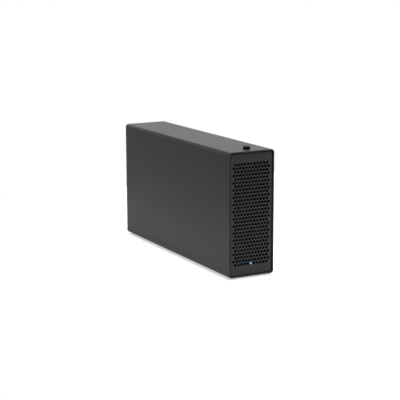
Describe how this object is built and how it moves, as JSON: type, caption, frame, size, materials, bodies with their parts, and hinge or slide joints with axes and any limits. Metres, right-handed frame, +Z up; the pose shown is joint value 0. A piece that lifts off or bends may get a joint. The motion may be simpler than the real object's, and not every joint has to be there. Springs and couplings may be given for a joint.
{
  "type": "pcie expansion chassis",
  "caption": "Tall narrow metal box that holds one plug-in card outside a computer: a folded sleeve with a perforated front, and a slide-out chassis with fan, board and rear sockets.",
  "frame": {"origin": "under the middle of the sleeve, on the surface that the feet stand on", "axes": "+X to the right seen from the front, +Y from the perforated front towards the rear panel, +Z up"},
  "size_m": [0.06, 0.28, 0.1533],
  "materials": {
    "powder_coat": "matte",
    "black_screw": "satin",
    "zinc_steel": "satin",
    "black_steel": "matte",
    "black_plastic": "matte",
    "laminate": "satin",
    "brass": "satin",
    "bright_steel": "polished",
    "black_aluminium": "anodised",
    "can_aluminium": "satin",
    "white_plastic": "matte",
    "clear_acrylic": "clear",
    "led_resin": "clear",
    "rubber": "matte"
  },
  "bodies": {
    "case": {"outer_sleeve": "powder_coat", "front_panel": "powder_coat", "panel_screws": "black_screw", "foot_front_left": "rubber", "foot_front_right": "rubber", "foot_back_left": "rubber", "foot_back_right": "rubber"},
    "thumbscrew": {"thumbscrew": "black_screw"},
    "clamp_nut": {"clamp_nut": "zinc_steel"},
    "chassis": {"tray": "zinc_steel", "fan_bracket": "black_steel", "latch_plate": "black_steel", "bracket_screws": "black_steel", "fan_frame": "black_plastic", "fan_screws": "black_screw", "rear_panel": "black_steel", "rear_screws": "black_screw", "slot_cover": "zinc_steel", "slot_screw": "zinc_steel", "main_board": "laminate", "board_standoffs": "brass", "board_screws": "zinc_steel", "card_slot": "black_plastic", "data_port_left": "bright_steel", "data_port_right": "bright_steel", "power_inlet": "black_plastic", "controller_chip": "black_plastic", "heat_sink": "black_aluminium", "chokes": "black_plastic", "capacitors": "can_aluminium", "fan_header": "white_plastic", "light_pipe": "clear_acrylic", "led_board": "laminate", "power_led": "led_resin"},
    "fan_rotor": {"fan_rotor": "black_plastic"}
  },
  "joints": [
    {"name": "chassis_slide", "type": "slide", "parent": "case", "child": "chassis", "axis": [0, 1, 0], "range_m": [0, 0.25]},
    {"name": "thumbscrew_turn", "type": "hinge", "parent": "case", "child": "thumbscrew", "pos_m": [0, -0.1275, 0.1495], "axis": [0, 0, 1], "range_deg": [0, 1080]},
    {"name": "clamp_nut_travel", "type": "slide", "parent": "case", "child": "clamp_nut", "axis": [0, 0, -1], "range_m": [0, 0.0021]},
    {"name": "fan_spin", "type": "hinge", "parent": "chassis", "child": "fan_rotor", "pos_m": [0, -0.1095, 0.07575], "axis": [0, 1, 0], "continuous": true}
  ],
  "couplings": [
    {"joint": "thumbscrew_turn", "follows": "clamp_nut_travel", "rad_per_m": 8976}
  ]
}
